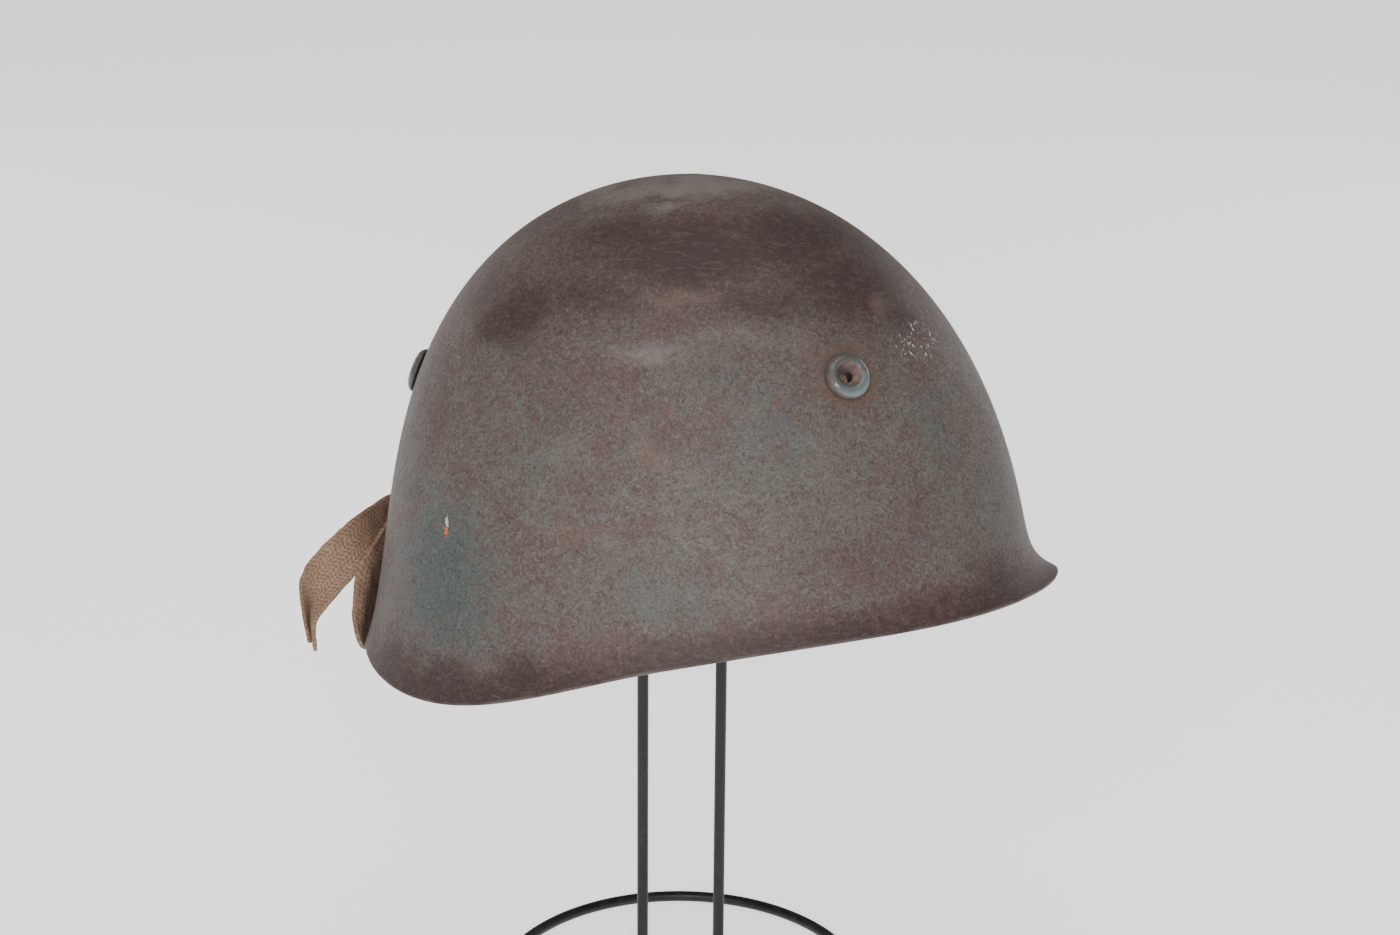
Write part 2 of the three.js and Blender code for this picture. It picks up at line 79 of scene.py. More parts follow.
# The studio: a wide pale floor under an evenly lit room. A large soft light stands over the camera,
# and weaker ones fill from the sides and from behind.
class Finish:
    """One socket in a material's nodes. Sums on it add Math nodes, and node() adds any other."""

    def __init__(self, tree, socket=None):
        self.tree = tree
        self.socket = socket

    def node(self, kind, settings, values, output=0):
        made = self.tree.nodes.new(kind)
        for name, setting in settings.items():
            setattr(made, name, setting)
        for name, value in values.items():
            if isinstance(value, Finish):
                self.tree.links.new(value.socket, made.inputs[name])
            else:
                made.inputs[name].default_value = value
        return Finish(self.tree, made.outputs[output])

    def math(self, operation, first, second=0.0):
        return self.node("ShaderNodeMath", {"operation": operation}, {0: first, 1: second})

    def __add__(self, other):
        return self.math("ADD", self, other)

    def __radd__(self, other):
        return self.math("ADD", other, self)

    def __sub__(self, other):
        return self.math("SUBTRACT", self, other)

    def __rsub__(self, other):
        return self.math("SUBTRACT", other, self)

    def __mul__(self, other):
        return self.math("MULTIPLY", self, other)

    def __rmul__(self, other):
        return self.math("MULTIPLY", other, self)

    def step(self, low, high):
        """0 at low and 1 at high, smooth between."""
        values = {"Value": self, "From Min": low, "From Max": high}
        return self.node("ShaderNodeMapRange", {"interpolation_type": "SMOOTHSTEP"}, values)

    def blend(self, under, over):
        """The colour under where this is 0, and over where it is 1."""
        settings = {"data_type": "RGBA", "clamp_factor": True}
        return self.node("ShaderNodeMix", settings, {0: self, 6: under, 7: over}, 2)

    def place(self):
        return self.node("ShaderNodeTexCoord", {}, {}, "Object")

    def spread(self, name):
        """A value that is stored on the mesh under this name."""
        return self.node("ShaderNodeAttribute", {"attribute_name": name}, {}, "Fac")

    def noise(self, scale, detail=2.0, roughness=0.5, distortion=0.0):
        """Cloudy noise over this place, with `scale` clouds to the metre."""
        values = {
            "Vector": self,
            "Scale": scale,
            "Detail": detail,
            "Roughness": roughness,
            "Distortion": distortion,
        }
        return self.node("ShaderNodeTexNoise", {}, values)

    def stretch(self, factors):
        return self.node("ShaderNodeVectorMath", {"operation": "MULTIPLY"}, {0: self, 1: factors})

    def spot(self, centre, reach):
        """1 at the centre of an oval spot, and 0 at its edge."""
        offset = self.node("ShaderNodeVectorMath", {"operation": "SUBTRACT"}, {0: self, 1: centre})
        scaled = offset.stretch([1 / size for size in reach])
        length = self.node("ShaderNodeVectorMath", {"operation": "LENGTH"}, {0: scaled}, "Value")
        return 1 - length

    def bump(self, strength, distance, under=None):
        """A normal that is tilted by this height."""
        values = {"Height": self, "Strength": strength, "Distance": distance}
        if under is not None:
            values["Normal"] = under
        return self.node("ShaderNodeBump", {}, values)

    def feed(self, shader, socket):
        self.tree.links.new(self.socket, shader.inputs[socket])


def new_material(piece, name, **fixed):
    """Gives a piece a material. Fixed sockets are set by name; its shader and nodes come back."""
    material = bpy.data.materials.new(name)
    material.use_nodes = True
    shader = material.node_tree.nodes["Principled BSDF"]
    for socket, value in fixed.items():
        shader.inputs[socket.replace("_", " ")].default_value = value
    piece.data.materials.clear()
    piece.data.materials.append(material)
    return shader, Finish(material.node_tree)


FLOOR_RADIUS = 7
FLOOR_COLOUR = (0.86, 0.855, 0.865, 1)
FLOOR_GLOW = 1.2
ROOM_GLOW = 0.3
bpy.ops.object.select_all(action="DESELECT")
bpy.ops.mesh.primitive_circle_add(vertices=96, radius=FLOOR_RADIUS, fill_type="NGON")
floor = bpy.context.object
floor.name = "floor"
paper_shader = new_material(floor, "floor_paper", Roughness=0.9)[0]
paper_shader.inputs["Base Color"].default_value = FLOOR_COLOUR
paper_shader.inputs["Emission Color"].default_value = FLOOR_COLOUR
paper_shader.inputs["Emission Strength"].default_value = FLOOR_GLOW

world = bpy.data.worlds.new("studio")
bpy.context.scene.world = world
world.use_nodes = True
background = world.node_tree.nodes["Background"]
background.inputs["Color"].default_value = (1, 1, 1, 1)
background.inputs["Strength"].default_value = ROOM_GLOW
SOFT_LIGHTS = [
    {"name": "key", "place": (-0.2, -1.7, 1.1), "size": 0.9, "power": 32},
    {"name": "left", "place": (-1.6, -0.3, 0.8), "size": 0.9, "power": 1},
    {"name": "right", "place": (1.6, -0.3, 0.8), "size": 0.9, "power": 1},
    {"name": "overhead", "place": (0, -0.2, 1.7), "size": 1.2, "power": 9},
    {"name": "back_left", "place": (-1.2, 1.3, 0.6), "size": 0.7, "power": 4.5},
    {"name": "back_right", "place": (1.2, 1.3, 0.6), "size": 0.7, "power": 4.5},
]
LIGHTS_AIM = Vector((0, 0, 0.25))
for row in SOFT_LIGHTS:
    bpy.ops.object.light_add(type="AREA", location=row["place"])
    lamp = bpy.context.object
    lamp.name = row["name"] + "_light"
    lamp.data.size = row["size"]
    lamp.data.energy = row["power"]
    lamp.rotation_euler = (LIGHTS_AIM - lamp.location).to_track_quat("-Z", "Y").to_euler()


# The shell: one sheet of steel pressed to a deep bowl with a flared rim. Grey-green paint over
# brown primer has worn to a fine crackle, down to the primer on the crown and along the rim.
def cad_copy(node):
    """A merged copy of a CAD node's mesh, to be finished as a piece of its own."""
    bpy.ops.object.select_all(action="DESELECT")
    piece = bpy.data.objects.new(node + "_piece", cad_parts[node].data.copy())
    bpy.context.scene.collection.objects.link(piece)
    piece.select_set(True)
    bpy.context.view_layer.objects.active = piece
    bpy.ops.mesh.customdata_custom_splitnormals_clear()
    bpy.ops.object.mode_set(mode="EDIT")
    bpy.ops.mesh.select_all(action="SELECT")
    bpy.ops.mesh.remove_doubles(threshold=0.002 * MM)
    bpy.ops.mesh.tris_convert_to_quads()
    bpy.ops.object.mode_set(mode="OBJECT")
    bpy.ops.object.shade_smooth()
    return piece


def subdivide(piece, levels):
    bpy.context.view_layer.objects.active = piece
    rounding = piece.modifiers.new("rounding", "SUBSURF")
    rounding.levels = levels
    rounding.render_levels = levels
    bpy.ops.object.modifier_apply(modifier="rounding")


def vertex_places(piece):
    places = np.empty(3 * len(piece.data.vertices))
    piece.data.vertices.foreach_get("co", places)
    return places.reshape(-1, 3)


def store(piece, name, values):
    """Keeps one value for each vertex on the mesh."""
    layer = piece.data.attributes.new(name, "FLOAT", "POINT")
    layer.data.foreach_set("value", np.asarray(values, dtype=np.float32))


def finish_piece(piece, node):
    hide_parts(node)
    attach(piece, "root")


VENTS = ("vent_rear", "vent_front_left", "vent_front_right")
vent_centres = {node: sum(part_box(node), Vector()) / 2 for node in VENTS}

shell = cad_copy("shell")
# The rim's edges are sharper than this angle, in radians, and clear of the vents
RIM_ANGLE = 1
VENT_REACH = 15 * MM
# Shares of each edge's length at which the rim is sampled
RIM_SHARES = np.linspace(0, 1, 16)
rim_edge = []
rim_crease = np.zeros(len(shell.data.edges))
shell_mesh = bmesh.new()
shell_mesh.from_mesh(shell.data)
for edge in shell_mesh.edges:
    middle = (edge.verts[0].co + edge.verts[1].co) / 2
    at_vent = any((middle - centre).length < VENT_REACH for centre in vent_centres.values())
    if edge.calc_face_angle(0) > RIM_ANGLE and not at_vent:
        rim_edge += [edge.verts[0].co.lerp(edge.verts[1].co, share) for share in RIM_SHARES]
        rim_crease[edge.index] = 1
shell_mesh.free()
shell.data.attributes.new("crease_edge", "FLOAT", "EDGE").data.foreach_set("value", rim_crease)
subdivide(shell, 2)
bpy.context.view_layer.update()

shell_points = vertex_places(shell)
rim_tree = KDTree(len(rim_edge))
for index, point in enumerate(rim_edge):
    rim_tree.insert(point, index)
rim_tree.balance()
store(shell, "from_rim", [rim_tree.find(point)[2] / MM for point in shell_points])
shell_centre = Vector((10, 0, 250)) * MM
shell_normals = np.array([vertex.normal for vertex in shell.data.vertices])
outward = ((shell_points - np.array(shell_centre)) * shell_normals).sum(axis=1)
store(shell, "inside", (outward < 0).astype(float))


def on_shell(pixel_x, pixel_y):
    return shell.ray_cast(CAMERA_PLACE, sight_line(pixel_x, pixel_y))[1]


WEAR_SEED = 12
WIDE_SWIRLS = {"per_metre": 30, "reach": 7 * MM}
FINE_SWIRLS = {"per_metre": 110, "reach": 4 * MM}
noise.seed_set(WEAR_SEED)


def ragged(point):
    """A nearby place, for uneven edges: two sizes of swirl move the point by some millimetres."""
    moved = Vector(point)
    for swirls in (WIDE_SWIRLS, FINE_SWIRLS):
        moved = moved + noise.noise_vector(Vector(point) * swirls["per_metre"]) * swirls["reach"]
    return moved


ragged_points = np.array([ragged(point) for point in shell_points])
MARK_DEPTH = 1.2


def mark_depths(marks):
    """How deep each vertex of the shell lies in any of the soft marks, from 0 to 1."""
    right, up, back = np.array(camera.matrix_world.to_3x3()).T
    amount = np.zeros(len(shell_points))
    for pixel_x, pixel_y, half_wide, half_high, strength in marks:
        offset = (ragged_points - np.array(on_shell(pixel_x, pixel_y))) / MM
        wide = offset @ right / half_wide
        high = offset @ up / half_high
        deep = offset @ back / (MARK_DEPTH * max(half_wide, half_high))
        amount = np.maximum(amount, strength * np.exp(-(wide**2 + high**2 + deep**2)))
    return amount


# Soft marks: place in the image, half width and half height in millimetres, and strength
BARE_MARKS = [
    (690, 243, 30, 14, 1.0),
    (620, 230, 18, 9, 0.6),
    (505, 325, 16, 12, 0.95),
    (480, 295, 12, 10, 0.6),
    (800, 240, 28, 13, 0.75),
    (855, 278, 22, 16, 0.8),
    (905, 312, 14, 9, 0.6),
    (600, 300, 22, 8, 0.4),
    (760, 300, 22, 8, 0.45),
    (390, 668, 14, 16, 1.2),
    (405, 688, 16, 14, 1.4),
    (445, 690, 26, 13, 1.4),
    (520, 690, 28, 12, 1.3),
    (600, 678, 28, 9, 1.0),
    (700, 656, 34, 6, 0.6),
    (840, 632, 26, 6, 0.6),
    (935, 605, 22, 10, 1.15),
    (1010, 580, 22, 9, 0.9),
    (665, 428, 13, 12, 0.35),
    (585, 402, 15, 10, 0.35),
    (870, 560, 26, 12, 0.45),
    (915, 500, 12, 15, 0.35),
    (440, 395, 9, 24, 0.45),
    (520, 640, 30, 8, 0.3),
]
TEAL_MARKS = [
    (448, 580, 26, 34, 1.5),
    (440, 480, 12, 20, 0.6),
    (540, 450, 22, 18, 0.6),
    (515, 360, 14, 12, 0.5),
    (720, 375, 22, 9, 0.6),
    (770, 440, 22, 16, 0.6),
    (935, 430, 15, 20, 0.8),
    (1000, 490, 13, 26, 0.7),
    (790, 320, 16, 7, 0.4),
    (680, 610, 34, 10, 0.5),
    (620, 560, 24, 14, 0.4),
]
TAN_MARKS = [
    (690, 290, 16, 5, 0.8),
    (640, 458, 8, 11, 0.8),
    (580, 525, 26, 6, 0.6),
    (690, 410, 30, 7, 0.4),
    (880, 300, 4, 8, 0.9),
    (810, 350, 12, 12, 0.6),
    (830, 470, 16, 18, 0.4),
    (690, 184, 40, 5, 0.5),
]
# Pale marks, partly real rubbed paint and partly painted highlight: the long streak right of the
# middle and the wide band along the top of the crown are painted sheen and light
RUBBED_AND_SHEEN_MARKS = [
    (655, 351, 20, 4.5, 0.95),
    (735, 345, 26, 4, 0.6),
    (600, 400, 14, 8, 0.4),
    (668, 206, 10, 3, 1.0),
    (690, 182, 60, 7, 1.25),
    (600, 210, 20, 7, 0.5),
    (790, 205, 22, 7, 0.5),
    (555, 455, 14, 8, 0.5),
    (760, 600, 30, 7, 0.4),
    (730, 540, 24, 12, 0.4),
]
store(shell, "bare", mark_depths(BARE_MARKS))
store(shell, "teal", mark_depths(TEAL_MARKS))
store(shell, "tan", mark_depths(TAN_MARKS))
store(shell, "rubbed_and_sheen", mark_depths(RUBBED_AND_SHEEN_MARKS))

GREY_PAINT = (0.094, 0.0895, 0.079, 1)
PALE_PAINT = (0.145, 0.135, 0.119, 1)
TEAL_PAINT = (0.046, 0.067, 0.063, 1)
BROWN_COAT = (0.081, 0.053, 0.045, 1)
BARE_PRIMER = (0.04, 0.0245, 0.0225, 1)
WISP_BROWN = (0.115, 0.088, 0.076, 1)
TAN_DUST = (0.14, 0.1, 0.077, 1)
RUBBED_PAINT_AND_SHEEN = (0.185, 0.165, 0.145, 1)
INSIDE_PAINT = (0.05, 0.047, 0.039, 1)
WORN_EDGE_AND_HIGHLIGHT = (0.105, 0.08, 0.069, 1)
RUST = (0.1, 0.06, 0.043, 1)
ORANGE_CHIP = (0.62, 0.11, 0.02, 1)
RED_STAIN = (0.15, 0.042, 0.03, 1)
WHITE_SCRATCH = (0.62, 0.59, 0.57, 1)
shell_shader, shell_nodes = new_material(shell, "worn_helmet_paint", Specular_IOR_Level=0.22)
place = shell_nodes.place()
clouds = place.noise(18, detail=3)
blots = place.noise(75, detail=5, roughness=0.62)
crackle = place.noise(700, detail=3, roughness=0.55, distortion=1.3)
flecks = place.stretch((0.8, 1.0, 1.1)).noise(380, detail=5, roughness=0.65, distortion=0.8)
grain = place.noise(1500, detail=1)
worms = place.noise(430, detail=3, roughness=0.6, distortion=2.2)
wisps = place.stretch((0.35, 1, 1.6)).noise(420, detail=4, roughness=0.62, distortion=1.2)
# Wear gathers in a band below the top of the crown, in the soft marks and along the rim
height = shell_nodes.node("ShaderNodeSeparateXYZ", {}, {"Vector": place}, "Z")
crown = height.step(0.28, 0.34) * height.step(0.372, 0.352) * 0.45
teal = shell_nodes.spread("teal") * 0.8 + (clouds - 0.5) * 1.2 + (flecks - 0.5) * 2.0
tan = shell_nodes.spread("tan") + (blots - 0.5) * 0.7
from_rim = shell_nodes.spread("from_rim") + (blots - 0.5) * 9
rim_band = (1 - from_rim.step(1, 23)) * 1.1
worn = shell_nodes.math("MAXIMUM", shell_nodes.spread("bare"), rim_band) + crown
worn = worn + (blots - 0.5) * 0.9 + (clouds - 0.5) * 1.4
bared = (worn + (flecks - 0.5) * 2.2).step(0.2, 1.15)
# Islands of paint are left between the bared places, and both have finer strokes in them
cover = shell_nodes.spread("teal") * 0.1 - worn * 0.12 - 0.03
cover = cover + (blots - 0.5) * 0.55 + (clouds - 0.5) * 0.4 + (flecks - 0.5) * 0.4
islands = (crackle + cover).step(0.38, 0.58)
paint = (teal.step(0.0, 1.3) * 0.95).blend(GREY_PAINT, TEAL_PAINT)
paint = (grain.step(0.55, 0.75) * 0.45).blend(paint, PALE_PAINT)
under = bared.blend(BROWN_COAT, BARE_PRIMER)
tone = (islands * (1 - bared * 0.7)).blend(under, paint)
tone = (wisps.step(0.5, 0.68) * bared * 0.38).blend(tone, WISP_BROWN)
tone = (worms.step(0.53, 0.66) * 0.6).blend(tone, BARE_PRIMER)
tone = (worms.step(0.47, 0.34) * (1 - bared) * 0.4).blend(tone, PALE_PAINT)
tone = (tan.step(0.2, 0.9) * (0.1 + crackle * 0.7)).blend(tone, TAN_DUST)
# Pale rubbed paint, partly a painted highlight where the satin sheen and the light on the crown are
# painted in
rubbed_and_sheen = shell_nodes.spread("rubbed_and_sheen") + (flecks - 0.5) * 1.5
tone = (rubbed_and_sheen.step(0.1, 1.3) * 0.6).blend(tone, RUBBED_PAINT_AND_SHEEN)
tone = (grain.step(0.4, 0.25) * 0.6).blend(tone, BARE_PRIMER)
HALO_REACH = 17 * MM
for centre in vent_centres.values():
    halo = place.spot(centre, [HALO_REACH] * 3) + (blots - 0.5) * 0.5
    tone = (halo.step(0.0, 0.45) * 0.55).blend(tone, RUST)
SCRATCH_REACH = (18 * MM, 18 * MM, 8 * MM)
scratched = place.spot(on_shell(918, 341), SCRATCH_REACH).step(0.0, 0.5)
strokes = place.stretch((1.0, 0.6, 0.5)).noise(1000, detail=2, distortion=0.5).step(0.6, 0.66)
tone = (strokes * scratched * flecks.step(0.46, 0.56)).blend(tone, WHITE_SCRATCH)
# Chips and stains: place in the image, and reach in millimetres along X, Y and Z
SMALL_MARKS = [
    {"at": (446, 531), "reach": (0.9, 3, 2.2), "colour": ORANGE_CHIP, "depth": 1.0},
    {"at": (447, 522), "reach": (0.8, 3, 2.4), "colour": WHITE_SCRATCH, "depth": 0.7},
    {"at": (777, 402), "reach": (1.2, 3, 3.6), "colour": RED_STAIN, "depth": 0.4},
    {"at": (745, 411), "reach": (2.0, 3, 2.2), "colour": RED_STAIN, "depth": 0.25},
    {"at": (670, 410), "reach": (2.0, 3, 2.6), "colour": RED_STAIN, "depth": 0.25},
]
for row in SMALL_MARKS:
    reach = [size * MM for size in row["reach"]]
    mark = place.spot(on_shell(*row["at"]), reach) + (crackle - 0.5) * 2 + (grain - 0.5) * 1.5
    tone = (mark.step(0.15, 0.4) * row["depth"]).blend(tone, row["colour"])
# The rim's very edge is painted lighter: partly worn steel, and partly a painted highlight where the
# edge catches the light
worn_and_lit_edge_line = 1 - shell_nodes.spread("from_rim").step(0.4, 1.3)
tone = (worn_and_lit_edge_line * blots.step(0.38, 0.62) * 0.8).blend(tone, WORN_EDGE_AND_HIGHLIGHT)
inside_tone = (crackle.step(0.3, 0.6) * 0.8).blend(BARE_PRIMER, INSIDE_PAINT)
tone = shell_nodes.spread("inside").blend(tone, inside_tone)
tone.feed(shell_shader, "Base Color")
(0.6 - islands * 0.06 - bared * 0.06).feed(shell_shader, "Roughness")
dents = place.noise(26, detail=1).bump(0.12, 2 * MM)
flakes = (islands * 0.6 + crackle * 0.5 + grain * 0.3).bump(0.35, 0.16 * MM, dents)
flakes.feed(shell_shader, "Normal")
finish_piece(shell, "shell")


# The vent bushes: turned steel rivets with a domed flange, set through the shell and clenched
# inside. Their blue-grey gloss paint is chipped, and the funnel in the middle has rusted.
# The gloss is painted darker on its upper side and lighter below: partly weathering, and partly
# painted shade and light
WEATHER_AND_SHADE_SIDE = (-0.4, 0, 0.92)
BUSH_RADIUS = 9 * MM
# Millimetres from the axis between which each zone begins
HOLE_SHADE_EDGE = (1.7, 2.2)
FUNNEL_EDGE = (4.2, 4.9)
SKIRT_EDGE = (8.6, 9.2)
DULL_SHADED_GLOSS = (0.062, 0.062, 0.057, 1)
FRESH_LIT_GLOSS = (0.11, 0.15, 0.152, 1)
DARK_CHIP = (0.04, 0.027, 0.023, 1)
BROWN_CHIP = (0.075, 0.05, 0.042, 1)
FUNNEL_RUST = (0.075, 0.046, 0.038, 1)
FUNNEL_DUST = (0.155, 0.1, 0.082, 1)
HOLE_PAINTED_SHADE = (0.005, 0.004, 0.0035, 1)
vent_axes = {}
for node in VENTS:
    bush = cad_copy(node)
    subdivide(bush, 2)
    bush_points = vertex_places(bush) - np.array(vent_centres[node])
    spreads, axes = np.linalg.eigh(np.cov(bush_points.T))
    axis = axes[:, 0] if spreads[1] - spreads[0] > spreads[2] - spreads[1] else axes[:, 2]
    vent_axes[node] = axis
    radii = np.linalg.norm(bush_points - np.outer(bush_points @ axis, axis), axis=1)
    store(bush, "from_axis", radii / MM)
    store(bush, "weathered_and_shaded", bush_points @ np.array(WEATHER_AND_SHADE_SIDE) / BUSH_RADIUS)
    bush_shader, bush_nodes = new_material(bush, node + "_gloss", Specular_IOR_Level=0.5)
    place = bush_nodes.place()
    from_axis = bush_nodes.spread("from_axis")
    blots = place.noise(260, detail=3, roughness=0.6)
    shades = place.noise(90, detail=2)
    weathered_and_shaded = bush_nodes.spread("weathered_and_shaded")
    # Painted light and shade: the lower side of each flange gets the fresh, lit gloss and the upper
    # side the dull, shaded one, besides its weathering
    fresh_and_lit = (0.5 - weathered_and_shaded * 0.5 + (shades - 0.5) * 0.8).step(0.1, 1.0)
    gloss = fresh_and_lit.blend(DULL_SHADED_GLOSS, FRESH_LIT_GLOSS)
    rusty = blots.step(0.35, 0.65).blend(DARK_CHIP, BROWN_CHIP)
    dusty = blots.step(0.35, 0.65).blend(FUNNEL_RUST, FUNNEL_DUST)
    chipped = (blots + weathered_and_shaded * 0.12).step(0.57, 0.63) * 0.9
    skirt = from_axis.step(*SKIRT_EDGE) * 0.8
    funnel = 1 - (from_axis + (blots - 0.5) * 0.8).step(*FUNNEL_EDGE)
    worn = bush_nodes.math("MAXIMUM", bush_nodes.math("MAXIMUM", chipped, funnel), skirt)
    tone = worn.blend(gloss, rusty)
    tone = funnel.blend(tone, dusty)
    # Painted shade: the bore of the hole is painted near black, where the deep hole lies in shadow
    tone = (1 - from_axis.step(*HOLE_SHADE_EDGE)).blend(tone, HOLE_PAINTED_SHADE)
    tone.feed(bush_shader, "Base Color")
    (0.26 + worn * 0.45).feed(bush_shader, "Roughness")
    (1 - worn * 0.5 + blots * 0.3).bump(0.4, 0.2 * MM).feed(bush_shader, "Normal")
    finish_piece(bush, node)


# The chin strap: two lengths of coarse brown webbing. Each is cut flat and laid along the route of
# its CAD node, from its vent to the ring; the free end of the right one has curled and frayed.
STRAP_WIDTH = 18.5 * MM
STRAP_THICK = 2.2 * MM
CLOTH_THICK = 1.8 * MM
CLOTH_STEP = 1.6 * MM
CLOTH_COLUMNS = 22
# Past the rim, its near edge turns outward: millimetres along, and millimetres out
CUP_PLACES = (4, 12, 28, 44)
CUP_DEPTHS = (0, 3, 3.4, 0)
# The free end is creased lengthwise: the CAD's share of the width, and the share left by the fold
FOLD_SHARES = (0.38, 0.45, 0.65, 0.9, 1)
FOLD_WIDTHS = (0.24, 0.29, 0.43, 0.85, 1)
# The fold is looked for from this many millimetres past the rim
FREE_END_FROM = 60
EYELET_RADIUS = 5.2 * MM
EYELET_DEPTH = 20 * MM
# What tells the CAD strap's sections from its other edges
THICK_TOLERANCE = 0.003 * MM
EYELET_CLEARANCE = 8.5 * MM
LEAST_WIDTH = 6 * MM
# The weave in millimetres: cords along the strap, columns of slanted picks, and the picks themselves
CORD_PITCH = 1.7
COLUMN_WIDTH = 3.4
PICK_PITCH = 1.9
# The sewn end in millimetres: a box of stitches, its middle from the end, and its rows
STITCH_PITCH = 2.6
SEAM_INSET = 3
SEAM_MIDDLE = 9
SEAM_HALF = 5.5
CLOTH_BROWN = (0.12, 0.07, 0.046, 1)
CLOTH_LIGHT = (0.32, 0.205, 0.14, 1)
CLOTH_FUZZ = (0.43, 0.3, 0.215, 1)
CLOTH_STAIN = (0.13, 0.08, 0.054, 1)
STITCH_BROWN = (0.05, 0.03, 0.02, 1)


def strap_sections(node, vent):
    """Corners of a CAD strap's sections, from its inner end to its other one."""
    piece = cad_copy(node)
    mesh = bmesh.new()
    mesh.from_mesh(piece.data)
    bpy.data.objects.remove(piece)
    linked = {frozenset(edge.verts) for edge in mesh.edges}
    faces = {frozenset(face.verts) for face in mesh.faces}
    sides = []
    for edge in mesh.edges:
        thick = abs(edge.calc_length() - STRAP_THICK) < THICK_TOLERANCE
        if thick and (edge.verts[0].co - vent).length > EYELET_CLEARANCE:
            sides.append(edge.verts[:])
    sections = []
    for (a, b), (c, d) in itertools.combinations(sides, 2):
        for near, far in ((c, d), (d, c)):
            across = frozenset((a, near)) in linked and frozenset((b, far)) in linked
            wide = (a.co - near.co).length > LEAST_WIDTH
            if across and wide and frozenset((a, b, near, far)) not in faces:
                sections.append((a, b, near, far))
    owner = {corner: index for index, section in enumerate(sections) for corner in section}
    beside = [set() for _ in sections]
    for edge in mesh.edges:
        ends = {owner[corner] for corner in edge.verts if corner in owner}
        for index in ends:
            beside[index] |= ends - {index}
    left = set(range(len(sections)))
    middles = [sum((corner.co for corner in section), Vector()) / 4 for section in sections]
    here = max(left, key=lambda index: middles[index].x)
    order = []
    while left:
        order.append(here)
        left.remove(here)
        choice = (beside[here] & left) or {index for index in left if len(beside[index]) == 1}
        if not choice:
            break
        here = min(choice, key=lambda index: (middles[index] - middles[order[-1]]).length)
    rows = [[np.array(corner.co) for corner in sections[index]] for index in order]
    mesh.free()
    return rows


def strap_route(sections):
    """Middle, half width and face at each section, with a little added to reach both ends."""
    route = []
    for a, b, c, d in sections:
        middle = (a + b + c + d) / 4
        half = (c + d - a - b) / 4
        face = (b - a) / np.linalg.norm(b - a)
        if route and half @ route[-1][1] < 0:
            half = -half
        if route and face @ route[-1][2] < 0:
            face = -face
        route.append(np.array([middle, half, face]))
    first = route[0] + (route[0] - route[1])
    last = route[-1] + (route[-1] - route[-2])
    return np.array([first] + route + [last])


def smooth_rows(rows, lengths, places):
    """Rows at even places along a smooth curve through the given ones."""
    slopes = np.gradient(rows, lengths, axis=0)
    index = np.clip(np.searchsorted(lengths, places, side="right") - 1, 0, len(lengths) - 2)
    gap = (lengths[index + 1] - lengths[index])[:, None, None]
    share = ((places - lengths[index])[:, None, None]) / gap
    left = 1 - share
    start = (1 + 2 * share) * rows[index] + share * gap * slopes[index]
    end = (1 + 2 * left) * rows[index + 1] - left * gap * slopes[index + 1]
    return left**2 * start + share**2 * end


def lay_webbing(node, vent):
    """A flat strip of webbing, laid along the CAD strap's route."""
    route = strap_route(strap_sections(node, vent))
    lengths = np.concatenate([[0], np.cumsum(np.linalg.norm(np.diff(route[:, 0], axis=0), axis=1))])
    rows = int(lengths[-1] / CLOTH_STEP)
    places = np.linspace(0, lengths[-1], rows + 1)
    route = smooth_rows(route, lengths, places)
    shares = np.clip(np.linalg.norm(route[:, 1], axis=1) / (STRAP_WIDTH / 2), 0, 1)
    under_rim = places[np.argmin(route[: round(0.8 * rows), 0, 2])]
    after_rim = (places - under_rim) / MM
    cupped = np.interp(after_rim, CUP_PLACES, CUP_DEPTHS) * MM
    folded = np.nonzero((shares < 0.97) & (after_rim > FREE_END_FROM))[0]
    if len(folded):
        route[folded[0]:, 1:] = route[folded[0], 1:]
    bpy.ops.object.select_all(action="DESELECT")
    bpy.ops.mesh.primitive_grid_add(x_subdivisions=CLOTH_COLUMNS, y_subdivisions=rows, size=1)
    cloth = bpy.context.object
    cloth.name = node + "_webbing"
    for vertex in cloth.data.vertices:
        row = round((vertex.co.y + 0.5) * rows)
        middle, aside, face = route[row]
        aside = aside / np.linalg.norm(aside)
        face = face / np.linalg.norm(face)
        share = np.interp(shares[row], FOLD_SHARES, FOLD_WIDTHS)
        near_side = max(0, -vertex.co.x * np.sign(aside[1]) - 0.2) / 0.3
        outward = face * np.sign(face @ (middle - np.array(shell_centre)))
        crease = math.sqrt((2 * vertex.co.x + 0.3) ** 2 + 0.03) - 0.6
        edge = max(0, abs(vertex.co.x) - 0.44) / 0.06
        fuzz = noise.noise(Vector(middle) * 900 + Vector((0, 0, vertex.co.x))) * edge * 0.5 * MM
        wave = noise.noise(Vector(middle) * 90 + Vector((0, 0, 3 * vertex.co.x))) * 0.5 * MM
        place = middle + aside * (vertex.co.x * STRAP_WIDTH * share + fuzz)
        place = place - face * (crease * math.sqrt(1 - share**2) * STRAP_WIDTH / 2 + wave)
        vertex.co = place + outward * near_side**2 * cupped[row]
    return cloth, lengths[-1]


def punch_eyelet(cloth, node):
    """The hole that the vent's shank goes through."""
    offsets = vertex_places(cloth) - np.array(vent_centres[node])
    along = offsets @ vent_axes[node]
    reach = np.linalg.norm(offsets - np.outer(along, vent_axes[node]), axis=1)
    hole = (reach < EYELET_RADIUS) & (np.abs(along) < EYELET_DEPTH)
    cloth.data.polygons.foreach_set("select", np.zeros(len(cloth.data.polygons), dtype=bool))
    cloth.data.edges.foreach_set("select", np.zeros(len(cloth.data.edges), dtype=bool))
    cloth.data.vertices.foreach_set("select", hole)
    bpy.ops.object.mode_set(mode="EDIT")
    bpy.ops.mesh.select_mode(type="VERT")
    bpy.ops.mesh.delete(type="VERT")
    bpy.ops.object.mode_set(mode="OBJECT")


